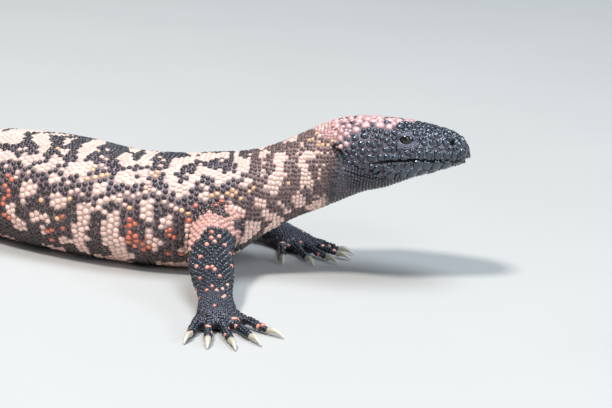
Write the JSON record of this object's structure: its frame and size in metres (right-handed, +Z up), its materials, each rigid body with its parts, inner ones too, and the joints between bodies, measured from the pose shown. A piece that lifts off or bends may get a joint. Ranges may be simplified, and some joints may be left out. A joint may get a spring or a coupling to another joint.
{
  "type": "gila monster",
  "caption": "Life-size still model of a stout, beaded lizard with a raised head, fat tail and sprawled legs, lying on its belly.",
  "frame": {"origin": "on the floor under the middle of the bounding box", "axes": "+X toward the head along the body, +Y toward the animal's left side, +Z up"},
  "size_m": [0.408, 0.2894, 0.0724],
  "materials": {
    "pink_beaded_skin": "satin beads, pink with dark brown marks",
    "black_head_skin": "glossy near-black bosses",
    "dark_leg_skin": "satin dark beads with orange spots",
    "claw_horn": "pale horn, satin",
    "dark_eye": "wet gloss, near black"
  },
  "bodies": {
    "root": {"belly": "pink_beaded_skin", "chest": "pink_beaded_skin", "claw_front_left_1": "claw_horn", "claw_front_left_2": "claw_horn", "claw_front_left_3": "claw_horn", "claw_front_left_4": "claw_horn", "claw_front_left_5": "claw_horn", "claw_front_right_1": "claw_horn", "claw_front_right_2": "claw_horn", "claw_front_right_3": "claw_horn", "claw_front_right_4": "claw_horn", "claw_front_right_5": "claw_horn", "claw_hind_left_1": "claw_horn", "claw_hind_left_2": "claw_horn", "claw_hind_left_3": "claw_horn", "claw_hind_left_4": "claw_horn", "claw_hind_left_5": "claw_horn", "claw_hind_right_1": "claw_horn", "claw_hind_right_2": "claw_horn", "claw_hind_right_3": "claw_horn", "claw_hind_right_4": "claw_horn", "claw_hind_right_5": "claw_horn", "eye_left": "dark_eye", "eye_right": "dark_eye", "foot_front_left": "dark_leg_skin", "foot_front_right": "dark_leg_skin", "foot_hind_left": "dark_leg_skin", "foot_hind_right": "dark_leg_skin", "head": "black_head_skin", "hips": "pink_beaded_skin", "lower_jaw": "black_head_skin", "lower_leg_front_left": "dark_leg_skin", "lower_leg_front_right": "dark_leg_skin", "lower_leg_hind_left": "dark_leg_skin", "lower_leg_hind_right": "dark_leg_skin", "neck": "pink_beaded_skin", "tail_base": "pink_beaded_skin", "tail_middle": "pink_beaded_skin", "tail_tip": "pink_beaded_skin", "upper_leg_front_left": "dark_leg_skin", "upper_leg_front_right": "dark_leg_skin", "upper_leg_hind_left": "dark_leg_skin", "upper_leg_hind_right": "dark_leg_skin"}
  },
  "joints": []
}
